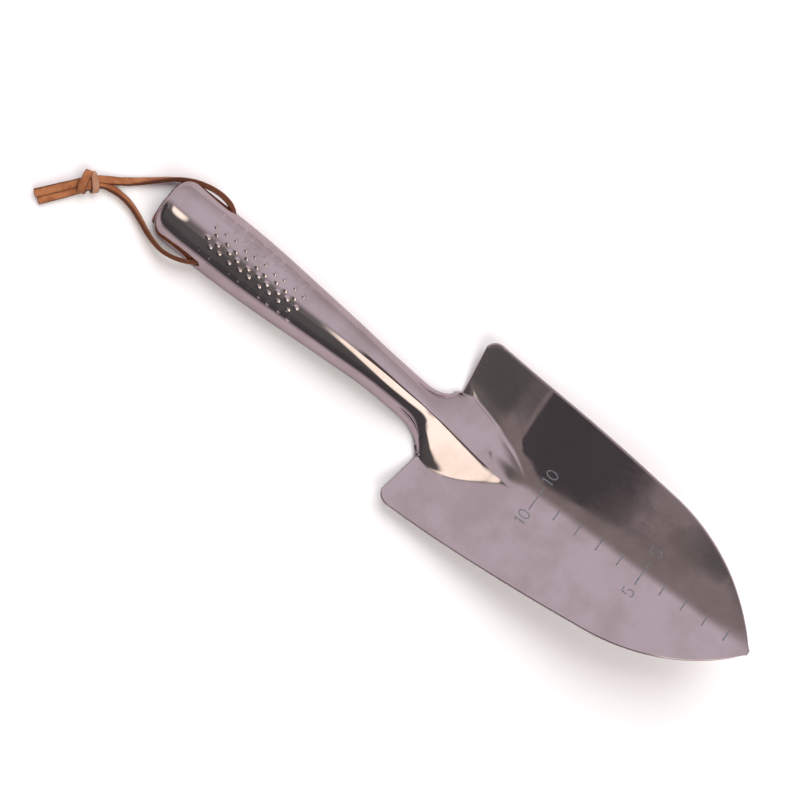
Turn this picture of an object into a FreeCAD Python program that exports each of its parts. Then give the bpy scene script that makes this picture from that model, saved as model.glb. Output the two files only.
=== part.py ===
"""Stainless steel hand transplanter, pressed in one piece, with a leather hanging thong.

The steel is modelled in the blade's own frame and then set down the way the tool lies on a table.
Blade frame, in millimetres: X runs along the tool towards the tip, Y across it, Z up out of the scoop,
with x = 0 at the heel, where the neck meets the blade, and z = 0 at the bottom of the blade's valley.
Rest frame: Z = 0 is the table, which the handle's end and the two heel corners touch.
"""

import FreeCAD
import Part
import math
import os

V = FreeCAD.Vector

# --- driving dimensions: sheet and blade ---
SHEET = 1.2              # thickness of the steel
BLADE_LENGTH = 148.6     # heel to tip, along the valley
HEEL_HALF = 15.0         # half width of the neck where it meets the blade's rear edges
SHOULDER_BACK = (-2.6, 34.2)   # where a rear edge turns into the shoulder's rounding
SHOULDER_MID = (-0.75, 37.15)
SHOULDER_SIDE = (3.4, 38.5)    # widest point of the blade
SIDE_MID = (49.0, 35.8)  # a point on the blade's gently curved side
SIDE_END = (88.0, 31.8)  # where the side turns into the nose
NOSE_MID = (118.7, 23.6)
NOSE_END = (147.0, 2.9)
TIP_MID = (148.2, 1.5)
VALLEY_SLOPE = math.tan(math.radians(16.0))
VALLEY_ROUND = 6.0       # how softly the two halves of the blade meet
HEEL_LIFT = 4.5          # how far the blade curls up at its heel
HEEL_LENGTH = 32.0
TIP_FLAT_LENGTH = 26.0   # the scoop flattens over this length towards the tip
TIP_FLATTENING = 0.45

# --- driving dimensions: handle, neck and rib ---
REST_PITCH = math.radians(16.4)  # how far the blade points up when the tool lies on a table
HANDLE_LENGTH = 128.4    # heel to the handle's end
LIP_ROLL = 4.5           # how far the handle's edges roll in below its widest line
SLOT_HALF = 5.0          # half width of the slot between the rolled edges
SLOT_REAR = -121.0       # the slot starts here, leaving a lip across the handle's end
SLOT_FLARE = [(-56.0, 5.0), (-42.0, 7.5), (-30.5, 7.15), (-16.0, 6.9)]   # where it widens to the neck
END_ROUND = 6.0          # rounding of the handle's closed end
FOOT_SINK = 0.35         # how deep the rib's foot is set into the blade's surface

# --- driving dimensions: leather thong ---
LACE = 2.6               # diameter of a round lace as heavy as the flat 3.1 x 1.7 one
HOLE_RADIUS = 2.1
HOLE_X = -118.0          # rest frame, as is all of the thong
HOLE_Z = 8.2
INSIDE_HALF = 9.9        # half of the lace's straight length inside the handle
KNOT_BEAD = 3.0          # the knot is a row of this many millimetres' radius wraps
KNOT_PITCH = 2.3
KNOT_CENTRE = (-166.7, -12.6, 3.05)
CENTRE_X = 2.49          # from the heel to the middle of the steel's length, at rest

# The lace's two halves, each from inside the handle out through its hole, back round the handle's end,
# through the knot and on to its cut end. Straight runs, which tangent arcs join.
UPPER = [(HOLE_X, INSIDE_HALF, HOLE_Z), (HOLE_X, 15.3, HOLE_Z), (-125.0, 15.8, 7.0), (-135.2, 15.8, 4.4),
         (-142.3, 10.4, 2.4), (-149.0, 2.8, 1.5), (-155.3, -2.9, 1.4), (-165.6, -10.0, 3.0),
         (-170.5, -16.6, 2.0), (-180.4, -28.1, 1.4)]
LOWER = [(HOLE_X, -INSIDE_HALF, HOLE_Z), (HOLE_X, -15.4, HOLE_Z), (-124.2, -16.8, 7.0), (-133.6, -15.9, 4.5),
         (-142.5, -11.6, 2.3), (-152.3, -8.4, 1.4), (-165.7, -13.0, 3.0), (-168.0, -18.4, 2.0),
         (-176.4, -29.5, 1.4)]
KNOT_AT = (7, 6)         # the points of the two halves that lie inside the knot

# Shape of the ridge that is handle, neck and rib in one: station x, then
# (height of the lips or foot, lips to widest line, crest height, half width, roundness of the arch).
# Roundness 2 is an ellipse, more is squarer and less is a sharp-crested roof.
RIDGE = [
    (-121.0, 41.42, 3.6, 57.5, 12.70, 2.25),
    (-112.0, 38.77, 3.6, 55.3, 12.85, 2.25),
    (-102.4, 36.85, 3.6, 53.1, 12.87, 2.25),
    (-86.0, 33.4, 3.6, 49.2, 12.42, 2.25),
    (-64.0, 28.4, 3.6, 43.5, 10.98, 2.2),
    (-41.5, 23.2, 3.4, 36.9, 9.36, 2.15),
    (-30.5, 19.9, 2.9, 32.8, 8.60, 2.1),
    (-19.5, 15.4, 2.0, 27.4, 8.42, 2.0),
    (-14.0, 12.6, 1.5, 24.2, 8.45, 1.95),
    (-8.6, 9.9, 1.0, 20.9, 9.0, 1.8),
    (-3.2, 7.8, 0.7, 16.9, 11.6, 1.55),
    (2.0, None, 0.7, 13.2, 15.4, 1.4),
    (8.0, None, 0.7, 9.8, 15.9, 1.32),
    (14.0, None, 0.7, 7.1, 15.0, 1.28),
    (21.0, None, 0.7, 4.3, 12.3, 1.25),
    (27.0, None, 0.7, 2.3, 8.6, 1.25),
    (32.0, None, 0.7, 1.0, 4.7, 1.25),
    (35.5, None, 0.7, 0.35, 1.4, 1.25),
]


def blade_height(x, y):
    """Height of the blade's upper surface at a point of its plan."""
    lift = HEEL_LIFT * max(0.0, 1.0 - x / HEEL_LENGTH) ** 2
    t = min(max((x - BLADE_LENGTH + TIP_FLAT_LENGTH) / TIP_FLAT_LENGTH, 0.0), 1.0)
    slope = VALLEY_SLOPE * (1.0 - TIP_FLATTENING * t * t * (3.0 - 2.0 * t))
    return lift + slope * (math.sqrt(y * y + VALLEY_ROUND ** 2) - VALLEY_ROUND)


def arc(a, b, c):
    return Part.Arc(V(*a, 0), V(*b, 0), V(*c, 0)).toShape()


def line(a, b):
    return Part.makeLine(V(*a, 0), V(*b, 0))


def blade_plan():
    """Closed outline of the blade, seen from above."""
    def half(s):
        p = [(x, s * y) for x, y in (SHOULDER_BACK, SHOULDER_MID, SHOULDER_SIDE, SIDE_MID, SIDE_END,
                                     NOSE_MID, NOSE_END)]
        return [line((0.3, s * HEEL_HALF), p[0]), arc(p[0], p[1], p[2]), arc(p[2], p[3], p[4]),
                arc(p[4], p[5], p[6])]
    tip = arc((NOSE_END[0], NOSE_END[1]), (BLADE_LENGTH, 0.0), (NOSE_END[0], -NOSE_END[1]))
    heel = line((0.3, -HEEL_HALF), (0.3, HEEL_HALF))
    return Part.Wire(Part.__sortEdges__(half(1) + [tip] + half(-1) + [heel]))


def make_blade():
    """The scoop: a sheet with a rounded valley, cut to the plan outline."""
    xs = [-12.0 + 6.0 * i for i in range(28)]
    ys = [-44.0 + 4.0 * j for j in range(23)]
    surface = Part.BSplineSurface()
    surface.interpolate([[V(x, y, blade_height(x, y) - 1.045 * SHEET) for y in ys] for x in xs])
    slab = surface.toShape().extrude(V(0, 0, 1.045 * SHEET))
    prism = Part.Face(blade_plan()).extrude(V(0, 0, 60))
    prism.translate(V(0, 0, -20))
    return slab.common(prism)


def spline(points):
    curve = Part.BSplineCurve()
    curve.interpolate(points)
    return curve.toShape()


def ridge_section(x, foot, lip, crest, half, n, inner, inset=0.0):
    """One closed section of the ridge, across the tool: an arch, two rolled lips and a flat bottom.

    The inner section is the hollow: a sheet's thickness smaller in the handle, and under the rib the
    same arch a sheet's thickness lower. inset narrows and lowers a section, to round the closed end.
    """
    if foot is None:
        foot = blade_height(x, half) - FOOT_SINK - lip
    z0 = foot + lip
    roll = min(LIP_ROLL, 1.25 * lip)
    half, crest = half - inset, crest - 1.2 * inset
    bottom = foot + 0.3 * inset
    if inner:
        rib = min(max((x + 9.0) / 11.0, 0.0), 1.0)
        half -= SHEET * (1.0 - 0.75 * rib)
        crest -= SHEET * (1.0 + 0.1 * rib)
        z0 -= SHEET * 1.1 * rib
        closed = min(max((lip - 2.4) / 1.0, 0.0), 1.0)    # 1 where the lips roll in, 0 where they are gone
        bottom = closed * (bottom + SHEET) + (1.0 - closed) * (foot - 3.0 - 8.0 * rib)
        roll = max(closed * (roll - SHEET), 0.02)
    rise = crest - z0
    arch = []
    for k in range(25):
        a = math.pi * k / 24
        c = math.cos(a)
        y = half * math.copysign(abs(c) ** (2.0 / n), c)
        arch.append(V(x, y, z0 + rise * math.sin(a) ** (2.0 / n)))
    lips = []
    for s in (1, -1):
        pts = []
        for k in range(5):
            a = 0.5 * math.pi * k / 4
            pts.append(V(x, s * (half - roll * (1.0 - math.cos(a))), z0 - (z0 - bottom) * math.sin(a)))
        lips.append(pts)
    right, left = lips
    arch[0], arch[-1] = right[0], left[0]
    return Part.Wire([spline(arch), spline(left), Part.makeLine(left[-1], right[-1]), spline(right[::-1])])


def end_sections(inner):
    """Sections that round the handle's closed end, and the one where its straight part starts."""
    x1, foot1, lip, crest1, half1, n = RIDGE[0]
    radius = END_ROUND - (SHEET if inner else 0.0)
    start = -HANDLE_LENGTH + (SHEET if inner else 0.0)
    slope = math.tan(REST_PITCH)
    rise = (RIDGE[0][3] - RIDGE[1][3]) / (RIDGE[1][0] - RIDGE[0][0])
    wires = []
    for turn in (6.0, 22.0, 40.0, 62.0):
        a = math.radians(turn)
        x = start + radius * (1.0 - math.cos(a))
        back = x1 - x
        wires.append(ridge_section(x, foot1 + slope * back, lip, crest1 + rise * back - 0.02 * back * back,
                                   half1 - 0.03 * back, n, inner, radius * (1.0 - math.sin(a))))
    return wires


def make_ridge(inner):
    wires = end_sections(inner)
    for x, foot, lip, crest, half, n in RIDGE:
        if inner and x == RIDGE[-1][0]:
            x -= SHEET
        wires.append(ridge_section(x, foot, lip, crest, half, n, inner))
    return Part.makeLoft(wires, True, False)


def make_slot():
    """The gap between the handle's rolled edges, round at its rear end and widening to the open neck."""
    rails = [(x, foot + 6.0) for x, foot, lip, crest, half, n in RIDGE if foot is not None and x <= -19.5]
    side = [V(SLOT_REAR - 2.0, 0, 0)] + [V(x, 0, z) for x, z in [(SLOT_REAR - 2.0, rails[0][1] + 0.6)] + rails]
    side += [V(rails[-1][0], 0, 0)]
    block = Part.Face(Part.makePolygon(side + side[:1])).extrude(V(0, 30, 0))
    block.translate(V(0, -15, 0))
    x = SLOT_REAR + SLOT_HALF
    edge = [(x, SLOT_HALF)] + SLOT_FLARE
    across = [(px, -py) for px, py in edge]
    runs = [line(p, q) for p, q in zip(edge, edge[1:])] + [line(p, q) for p, q in zip(across, across[1:])]
    plan = Part.Wire(Part.__sortEdges__(runs + [line(edge[-1], across[-1]),
                                                arc(across[0], (SLOT_REAR, 0.0), edge[0])]))
    return block.common(Part.Face(plan).extrude(V(0, 0, 90)))


def make_steel():
    """The whole pressing at rest, with the holes for the thong."""
    steel = make_blade().fuse(make_ridge(False)).cut(make_ridge(True)).cut(make_slot())
    steel.rotate(V(0, 0, 0), V(0, 1, 0), -math.degrees(REST_PITCH))
    heel = min(v.z for v in steel.tessellate(0.05)[0] if v.x > -30.0)
    steel.translate(V(-CENTRE_X, 0, -heel))
    steel = steel.cut(Part.makeBox(400, 200, 10, V(-200, -100, -10)))    # the lips' flat
    hole = Part.makeCylinder(HOLE_RADIUS, 60, V(HOLE_X, -30, HOLE_Z), V(0, 1, 0))
    steel = steel.cut(hole)
    return steel.Solids[0] if len(steel.Solids) == 1 else steel


def lace_path(points, label):
    """Straight runs with a tangent arc at each turn, and the path's length."""
    pts = [V(*p) for p in points]
    edges, at = [], pts[0]
    for i in range(1, len(pts) - 1):
        back, on = pts[i - 1] - pts[i], pts[i + 1] - pts[i]
        reach = 0.45 * min(back.Length, on.Length)
        b, c = V(back).normalize(), V(on).normalize()
        half_turn = 0.5 * (math.pi - b.getAngle(c))
        radius = reach / math.tan(half_turn)
        print("  %s turn %d: %.0f degrees, radius %.1f" % (label, i, math.degrees(2 * half_turn), radius))
        first, last = pts[i] + b * reach, pts[i] + c * reach
        inward = V(b + c).normalize()
        middle = pts[i] + inward * (radius / math.cos(half_turn) - radius)
        edges.append(Part.makeLine(at, first))
        edges.append(Part.Arc(first, middle, last).toShape())
        at = last
    edges.append(Part.makeLine(at, pts[-1]))
    return Part.Wire(edges)


def lace_tube(points, label):
    path = lace_path(points, label)
    ring = Part.Wire(Part.makeCircle(LACE / 2, V(*points[0]), V(*points[1]) - V(*points[0])))
    tube = path.makePipeShell([ring], True, True)
    want = math.pi * LACE ** 2 / 4 * path.Length
    print("%s length %.1f, volume %.2f against %.2f" % (label, path.Length, tube.Volume, want))
    return tube


def make_thong():
    """The lace as its span inside the handle, two strands, knot and two tails."""
    x, y, z = KNOT_CENTRE
    knot = Part.makeSphere(KNOT_BEAD, V(x, y, z))
    for k in (-1, 1):
        knot = knot.fuse(Part.makeSphere(KNOT_BEAD, V(x, y + k * KNOT_PITCH, z)))
    parts = {"thong_knot": knot.Solids[0]}
    inside = Part.makeCylinder(LACE / 2, 2 * INSIDE_HALF, V(HOLE_X, -INSIDE_HALF, HOLE_Z), V(0, 1, 0))
    parts["thong_inside"] = inside
    for side, route, at in (("upper", UPPER, KNOT_AT[0]), ("lower", LOWER, KNOT_AT[1])):
        parts["thong_" + side] = lace_tube(route[:at + 1], "strand_" + side).cut(knot)
        parts["thong_tail_" + side] = lace_tube(route[at:], "tail_" + side).cut(knot)
    return parts


if __name__ == "__main__":
    os.makedirs("parts", exist_ok=True)
    nodes = {"pressing": make_steel()}
    nodes.update(make_thong())
    for name, shape in nodes.items():
        box = shape.BoundBox
        print(name, shape.isValid(), len(shape.Solids), round(shape.Volume, 1),
              [round(v, 2) for v in (box.XMin, box.XMax, box.YMin, box.YMax, box.ZMin, box.ZMax)])
        shape.exportStep("parts/%s.step" % name)
    names = list(nodes)
    for i, a in enumerate(names):
        for b in names[i + 1:]:
            if nodes[a].BoundBox.intersect(nodes[b].BoundBox):
                print("shared", a, b, round(nodes[a].common(nodes[b]).Volume, 4))
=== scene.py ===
"""Looks of a pressed stainless steel hand transplanter with a knotted leather hanging thong.

The steel is built as one sheet, ruled in rows across the tool from the handle's closed end to the blade's
tip, in the blade's own frame (millimetres, x = 0 at the heel), and then laid down in the frame's rest pose.
"""

import logging
import math
from dataclasses import dataclass, field
from enum import Enum
from typing import Dict, List, Optional, Sequence, Tuple, Union

import bpy
import numpy as np
from mathutils import Matrix, Vector


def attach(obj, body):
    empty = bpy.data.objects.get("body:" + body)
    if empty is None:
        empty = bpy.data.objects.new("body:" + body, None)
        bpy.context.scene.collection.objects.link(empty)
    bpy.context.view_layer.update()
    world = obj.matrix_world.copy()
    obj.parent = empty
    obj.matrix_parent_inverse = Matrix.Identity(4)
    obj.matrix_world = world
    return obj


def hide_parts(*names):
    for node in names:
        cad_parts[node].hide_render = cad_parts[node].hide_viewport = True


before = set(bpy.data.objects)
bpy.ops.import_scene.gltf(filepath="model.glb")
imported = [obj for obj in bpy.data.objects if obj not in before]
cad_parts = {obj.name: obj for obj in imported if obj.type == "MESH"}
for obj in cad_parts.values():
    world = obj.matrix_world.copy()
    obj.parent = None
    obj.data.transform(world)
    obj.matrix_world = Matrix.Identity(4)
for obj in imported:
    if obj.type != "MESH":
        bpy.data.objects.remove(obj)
LOG = logging.getLogger("transplanter")
MM = 0.001
Tree = bpy.types.NodeTree
Socket = bpy.types.NodeSocket
Node = bpy.types.Node
Number = Union[float, Socket]
Point = Tuple[float, float, float]
Colour = Tuple[float, float, float, float]


class Side(Enum):
    """The two sides of the tool, seen from the handle."""

    LEFT = 1.0
    RIGHT = -1.0


class Tick(Enum):
    """The two lengths of mark on the planting scale, in millimetres."""

    SHORT = 5.3
    LONG = 10.7


# ---------------------------------------------------------------- shader groups


def new_group(name: str, inputs: Sequence[Tuple[str, str, object]],
              outputs: Sequence[Tuple[str, str]]) -> Tuple[Tree, Node, Node]:
    """Makes an empty shader node group with named sockets.

    Args:
        name: the group's name.
        inputs: socket name, socket type and default of each input.
        outputs: socket name and socket type of each output.

    Returns:
        The node tree with its input and output nodes.
    """
    tree = bpy.data.node_groups.new(name, "ShaderNodeTree")
    for label, kind, default in inputs:
        socket = tree.interface.new_socket(name=label, in_out="INPUT", socket_type=kind)
        socket.default_value = default
    for label, kind in outputs:
        tree.interface.new_socket(name=label, in_out="OUTPUT", socket_type=kind)
    return tree, tree.nodes.new("NodeGroupInput"), tree.nodes.new("NodeGroupOutput")


def math_node(tree: Tree, operation: str, first: Number, second: Optional[Number] = None) -> Socket:
    """Adds a math node and wires or sets its inputs.

    Args:
        tree: the node tree.
        operation: the node's operation.
        first: a socket or a number.
        second: a socket, a number or nothing.

    Returns:
        The node's output socket.
    """
    node = tree.nodes.new("ShaderNodeMath")
    node.operation = operation
    for slot, value in enumerate((first, second)):
        if value is None:
            continue
        if isinstance(value, (int, float)):
            node.inputs[slot].default_value = value
        else:
            tree.links.new(value, node.inputs[slot])
    return node.outputs[0]


def noise_node(tree: Tree, vector: Socket, scale: float, detail: float, roughness: float = 0.5) -> Socket:
    """Adds a noise texture.

    Args:
        tree: the node tree.
        vector: the socket that feeds its vector.
        scale: how fine it is.
        detail: how many octaves it has.
        roughness: how strong the finer octaves are.

    Returns:
        Its value socket.
    """
    node = tree.nodes.new("ShaderNodeTexNoise")
    node.inputs["Scale"].default_value = scale
    node.inputs["Detail"].default_value = detail
    node.inputs["Roughness"].default_value = roughness
    tree.links.new(vector, node.inputs["Vector"])
    return node.outputs[0]


def range_node(tree: Tree, value: Number, low: float, high: float, to_low: float = 0.0,
               to_high: float = 1.0) -> Socket:
    """Adds a smooth map range.

    Args:
        tree: the node tree.
        value: the socket it reads.
        low: the value that gives to_low.
        high: the value that gives to_high, which may be below low.
        to_low: the result at low.
        to_high: the result at high.

    Returns:
        Its result socket.
    """
    node = tree.nodes.new("ShaderNodeMapRange")
    node.interpolation_type = "SMOOTHSTEP"
    for label, number in (("From Min", low), ("From Max", high), ("To Min", to_low), ("To Max", to_high)):
        node.inputs[label].default_value = number
    tree.links.new(value, node.inputs["Value"])
    return node.outputs["Result"]


def mix_colour(tree: Tree, factor: Number, first: Union[Colour, Socket], second: Union[Colour, Socket]) -> Socket:
    """Mixes two colours, each a socket or a colour.

    Args:
        tree: the node tree.
        factor: the share of the second colour.
        first: the colour at 0.
        second: the colour at 1.

    Returns:
        The result socket.
    """
    node = tree.nodes.new("ShaderNodeMix")
    node.data_type = "RGBA"
    if isinstance(factor, (int, float)):
        node.inputs["Factor"].default_value = factor
    else:
        tree.links.new(factor, node.inputs["Factor"])
    for label, value in (("A", first), ("B", second)):
        socket = [s for s in node.inputs if s.name == label and s.type == "RGBA"][0]
        if isinstance(value, tuple):
            socket.default_value = value
        else:
            tree.links.new(value, socket)
    return [s for s in node.outputs if s.type == "RGBA"][0]


def scuff_group() -> Tree:
    """Builds the group of fine handling marks: long hairlines and broad smears, each as a mask.

    Returns:
        The node tree, with inputs Vector, Hairline Scale and Smear Scale, and outputs Hairlines and Smears.
    """
    tree, source, sink = new_group(
        "HandlingMarks",
        [("Vector", "NodeSocketVector", (0, 0, 0)), ("Hairline Scale", "NodeSocketFloat", 900.0),
         ("Smear Scale", "NodeSocketFloat", 30.0)],
        [("Hairlines", "NodeSocketFloat"), ("Smears", "NodeSocketFloat")])
    stretch = tree.nodes.new("ShaderNodeVectorMath")
    stretch.operation = "MULTIPLY"
    stretch.inputs[1].default_value = (0.06, 1.0, 0.35)
    tree.links.new(source.outputs["Vector"], stretch.inputs[0])
    fine = tree.nodes.new("ShaderNodeTexNoise")
    fine.inputs["Detail"].default_value = 3.0
    tree.links.new(stretch.outputs[0], fine.inputs["Vector"])
    tree.links.new(source.outputs["Hairline Scale"], fine.inputs["Scale"])
    broad = tree.nodes.new("ShaderNodeTexNoise")
    broad.inputs["Detail"].default_value = 4.0
    broad.inputs["Roughness"].default_value = 0.6
    tree.links.new(source.outputs["Vector"], broad.inputs["Vector"])
    tree.links.new(source.outputs["Smear Scale"], broad.inputs["Scale"])
    tree.links.new(range_node(tree, fine.outputs[0], 0.46, 0.72), sink.inputs["Hairlines"])
    tree.links.new(range_node(tree, broad.outputs[0], 0.38, 0.7), sink.inputs["Smears"])
    return tree


def grain_group() -> Tree:
    """Builds the group of cut leather: pebbled grain height and blotchy tone.

    Returns:
        The node tree, with inputs Vector and Grain Scale, and outputs Height and Tone.
    """
    tree, source, sink = new_group(
        "LeatherGrain",
        [("Vector", "NodeSocketVector", (0, 0, 0)), ("Grain Scale", "NodeSocketFloat", 2600.0)],
        [("Height", "NodeSocketFloat"), ("Tone", "NodeSocketFloat")])
    cells = tree.nodes.new("ShaderNodeTexVoronoi")
    cells.inputs["Randomness"].default_value = 1.0
    tree.links.new(source.outputs["Vector"], cells.inputs["Vector"])
    tree.links.new(source.outputs["Grain Scale"], cells.inputs["Scale"])
    fibre = noise_node(tree, source.outputs["Vector"], 1400.0, 4.0, 0.65)
    height = math_node(tree, "ADD", math_node(tree, "MULTIPLY", cells.outputs["Distance"], 0.7),
                       math_node(tree, "MULTIPLY", fibre, 0.6))
    tree.links.new(height, sink.inputs["Height"])
    tone = noise_node(tree, source.outputs["Vector"], 260.0, 3.0, 0.6)
    tree.links.new(range_node(tree, tone, 0.32, 0.68), sink.inputs["Tone"])
    return tree


def place_group(tree: Tree, group: Tree, vector: Socket, **values: float) -> Node:
    """Places a shader group in a material.

    Args:
        tree: the material's node tree.
        group: the group's own tree.
        vector: the socket that feeds its Vector input.
        **values: the group's numbers, by socket name with underscores for spaces.

    Returns:
        The group node.
    """
    node = tree.nodes.new("ShaderNodeGroup")
    node.node_tree = group
    tree.links.new(vector, node.inputs["Vector"])
    for label, number in values.items():
        node.inputs[label.replace("_", " ")].default_value = number
    return node


@dataclass(frozen=True)
class PolishedSteel:
    """Mirror-polished stainless sheet with the slight waviness of pressing and marks of handling."""

    tint: Colour = (0.655, 0.60, 0.62, 1.0)
    smeared: Colour = (0.55, 0.50, 0.50, 1.0)
    roughness: Tuple[float, float] = (0.04, 0.075)

    def build(self, marks: Tree) -> bpy.types.Material:
        """Makes the material.

        Args:
            marks: the handling marks group.

        Returns:
            The material.
        """
        material = bpy.data.materials.new("polished_steel")
        material.use_nodes = True
        tree = material.node_tree
        shader = tree.nodes["Principled BSDF"]
        shader.inputs["Metallic"].default_value = 1.0
        where = tree.nodes.new("ShaderNodeTexCoord").outputs["Object"]
        scuffs = place_group(tree, marks, where, Hairline_Scale=1500.0, Smear_Scale=52.0)
        colour = mix_colour(tree, scuffs.outputs["Smears"], self.tint, self.smeared)
        tree.links.new(colour, shader.inputs["Base Color"])
        low, high = self.roughness
        gloss = math_node(tree, "ADD", range_node(tree, scuffs.outputs["Smears"], 0.0, 1.0, low, high),
                          math_node(tree, "MULTIPLY", scuffs.outputs["Hairlines"], 0.025))
        tree.links.new(gloss, shader.inputs["Roughness"])
        wave = noise_node(tree, where, 55.0, 2.0)
        bump = tree.nodes.new("ShaderNodeBump")
        bump.inputs["Strength"].default_value = 0.12
        bump.inputs["Distance"].default_value = 0.00012
        scratch = math_node(tree, "MULTIPLY", scuffs.outputs["Hairlines"], 0.02)
        tree.links.new(math_node(tree, "ADD", wave, scratch), bump.inputs["Height"])
        tree.links.new(bump.outputs["Normal"], shader.inputs["Normal"])
        return material


@dataclass(frozen=True)
class EtchedMark:
    """The matt blue-grey bottom of a mark etched into the steel."""

    light: Colour = (0.215, 0.225, 0.245, 1.0)
    dark: Colour = (0.135, 0.145, 0.165, 1.0)

    def build(self) -> bpy.types.Material:
        """Makes the material."""
        material = bpy.data.materials.new("etched_mark")
        material.use_nodes = True
        tree = material.node_tree
        shader = tree.nodes["Principled BSDF"]
        shader.inputs["Metallic"].default_value = 0.35
        where = tree.nodes.new("ShaderNodeTexCoord").outputs["Object"]
        fleck = range_node(tree, noise_node(tree, where, 1800.0, 3.0), 0.35, 0.65)
        tree.links.new(mix_colour(tree, fleck, self.light, self.dark), shader.inputs["Base Color"])
        tree.links.new(range_node(tree, fleck, 0.0, 1.0, 0.5, 0.65), shader.inputs["Roughness"])
        return material


@dataclass(frozen=True)
class TanLeather:
    """Undyed tan leather lace: a smooth pebbled face, and darker cut edges by way of an edge colour layer."""

    name: str
    face: Colour
    blotch: Colour
    edge: Colour

    def build(self, grain: Tree) -> bpy.types.Material:
        """Makes the material.

        Args:
            grain: the leather grain group.

        Returns:
            The material.
        """
        material = bpy.data.materials.new(self.name)
        material.use_nodes = True
        tree = material.node_tree
        shader = tree.nodes["Principled BSDF"]
        where = tree.nodes.new("ShaderNodeTexCoord").outputs["Object"]
        hide = place_group(tree, grain, where, Grain_Scale=2300.0)
        layer = tree.nodes.new("ShaderNodeAttribute")
        layer.attribute_name = "cut_edge"
        skin = mix_colour(tree, hide.outputs["Tone"], self.face, self.blotch)
        tree.links.new(mix_colour(tree, layer.outputs["Fac"], skin, self.edge), shader.inputs["Base Color"])
        tree.links.new(range_node(tree, hide.outputs["Tone"], 0.0, 1.0, 0.5, 0.66), shader.inputs["Roughness"])
        shader.inputs["Specular IOR Level"].default_value = 0.35
        shader.inputs["Sheen Weight"].default_value = 0.08
        bump = tree.nodes.new("ShaderNodeBump")
        bump.inputs["Strength"].default_value = 0.5
        bump.inputs["Distance"].default_value = 0.00012
        tree.links.new(hide.outputs["Height"], bump.inputs["Height"])
        tree.links.new(bump.outputs["Normal"], shader.inputs["Normal"])
        return material


# ---------------------------------------------------------------- mesh helpers


def mesh_object(name: str, vertices: np.ndarray, faces: List[Tuple[int, ...]],
                smooth: bool = True) -> bpy.types.Object:
    """Makes a mesh object in the scene.

    Args:
        name: the object's name.
        vertices: its points in metres, one row each.
        faces: its faces.
        smooth: whether its faces are shaded smooth.

    Returns:
        The object.
    """
    mesh = bpy.data.meshes.new(name)
    mesh.from_pydata([tuple(v) for v in vertices.tolist()], [], faces)
    mesh.validate()
    mesh.polygons.foreach_set("use_smooth", [smooth] * len(mesh.polygons))
    mesh.update()
    item = bpy.data.objects.new(name, mesh)
    bpy.context.collection.objects.link(item)
    return item


def unit(rows: np.ndarray) -> np.ndarray:
    """Scales each row of an array to length 1."""
    return rows / np.maximum(np.linalg.norm(rows, axis=-1, keepdims=True), 1e-12)


class Curve:
    """A natural cubic curve through stations, the same for every reading along the tool."""

    def __init__(self, stations: Sequence[float], values: Sequence[float]) -> None:
        """Solves for the curve's bending at each station."""
        x, y = np.array(stations, float), np.array(values, float)
        h = np.diff(x)
        system = np.eye(len(x))
        right = np.zeros(len(x))
        for i in range(1, len(x) - 1):
            system[i, i - 1:i + 2] = h[i - 1], 2 * (h[i - 1] + h[i]), h[i]
            right[i] = 6 * ((y[i + 1] - y[i]) / h[i] - (y[i] - y[i - 1]) / h[i - 1])
        self.x, self.y, self.h, self.m = x, y, h, np.linalg.solve(system, right)

    def __call__(self, at) -> np.ndarray:
        """Reads the curve, straight on beyond its ends.

        Args:
            at: a number or array of stations.

        Returns:
            The values there.
        """
        at = np.asarray(at, float)
        i = np.clip(np.searchsorted(self.x, at) - 1, 0, len(self.h) - 1)
        inside = np.clip(at, self.x[0], self.x[-1])
        a, b, h = self.x[i + 1] - inside, inside - self.x[i], self.h[i]
        y = (self.m[i] * a ** 3 + self.m[i + 1] * b ** 3) / (6 * h)
        y = y + (self.y[i] / h - self.m[i] * h / 6) * a + (self.y[i + 1] / h - self.m[i + 1] * h / 6) * b
        end = np.where(at > self.x[-1], 1, 0)
        slope = np.where(end == 1, (self.y[-1] - self.y[-2]) / self.h[-1], (self.y[1] - self.y[0]) / self.h[0])
        return y + slope * (at - inside)


def smooth_step(value: np.ndarray, low: float, high: float) -> np.ndarray:
    """Rises smoothly from 0 at low to 1 at high."""
    t = np.clip((np.asarray(value, float) - low) / (high - low), 0.0, 1.0)
    return t * t * (3 - 2 * t)


def arc_points(a: Tuple[float, float], b: Tuple[float, float], c: Tuple[float, float], count: int) -> np.ndarray:
    """Points on the circle's arc that starts at a, passes b and ends at c."""
    ax, ay, bx, by, cx, cy = *a, *b, *c
    d = 2 * (ax * (by - cy) + bx * (cy - ay) + cx * (ay - by))
    ux = ((ax ** 2 + ay ** 2) * (by - cy) + (bx ** 2 + by ** 2) * (cy - ay) + (cx ** 2 + cy ** 2) * (ay - by)) / d
    uy = ((ax ** 2 + ay ** 2) * (cx - bx) + (bx ** 2 + by ** 2) * (ax - cx) + (cx ** 2 + cy ** 2) * (bx - ax)) / d
    start, middle, end = (math.atan2(y - uy, x - ux) for x, y in (a, b, c))
    turn = (end - start) % (2 * math.pi)
    if (middle - start) % (2 * math.pi) > turn:
        turn -= 2 * math.pi
    angles = start + turn * np.linspace(0, 1, count)
    radius = math.hypot(ax - ux, ay - uy)
    return np.column_stack((ux + radius * np.cos(angles), uy + radius * np.sin(angles)))


def follow(path: np.ndarray, at: np.ndarray) -> np.ndarray:
    """Reads points off a path of straight pieces.

    Args:
        path: the path's points.
        at: lengths along it.

    Returns:
        A point for each length.
    """
    run = np.concatenate(([0.0], np.cumsum(np.linalg.norm(np.diff(path, axis=0), axis=1))))
    return np.column_stack([np.interp(at, run, path[:, k]) for k in range(path.shape[1])])


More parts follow.
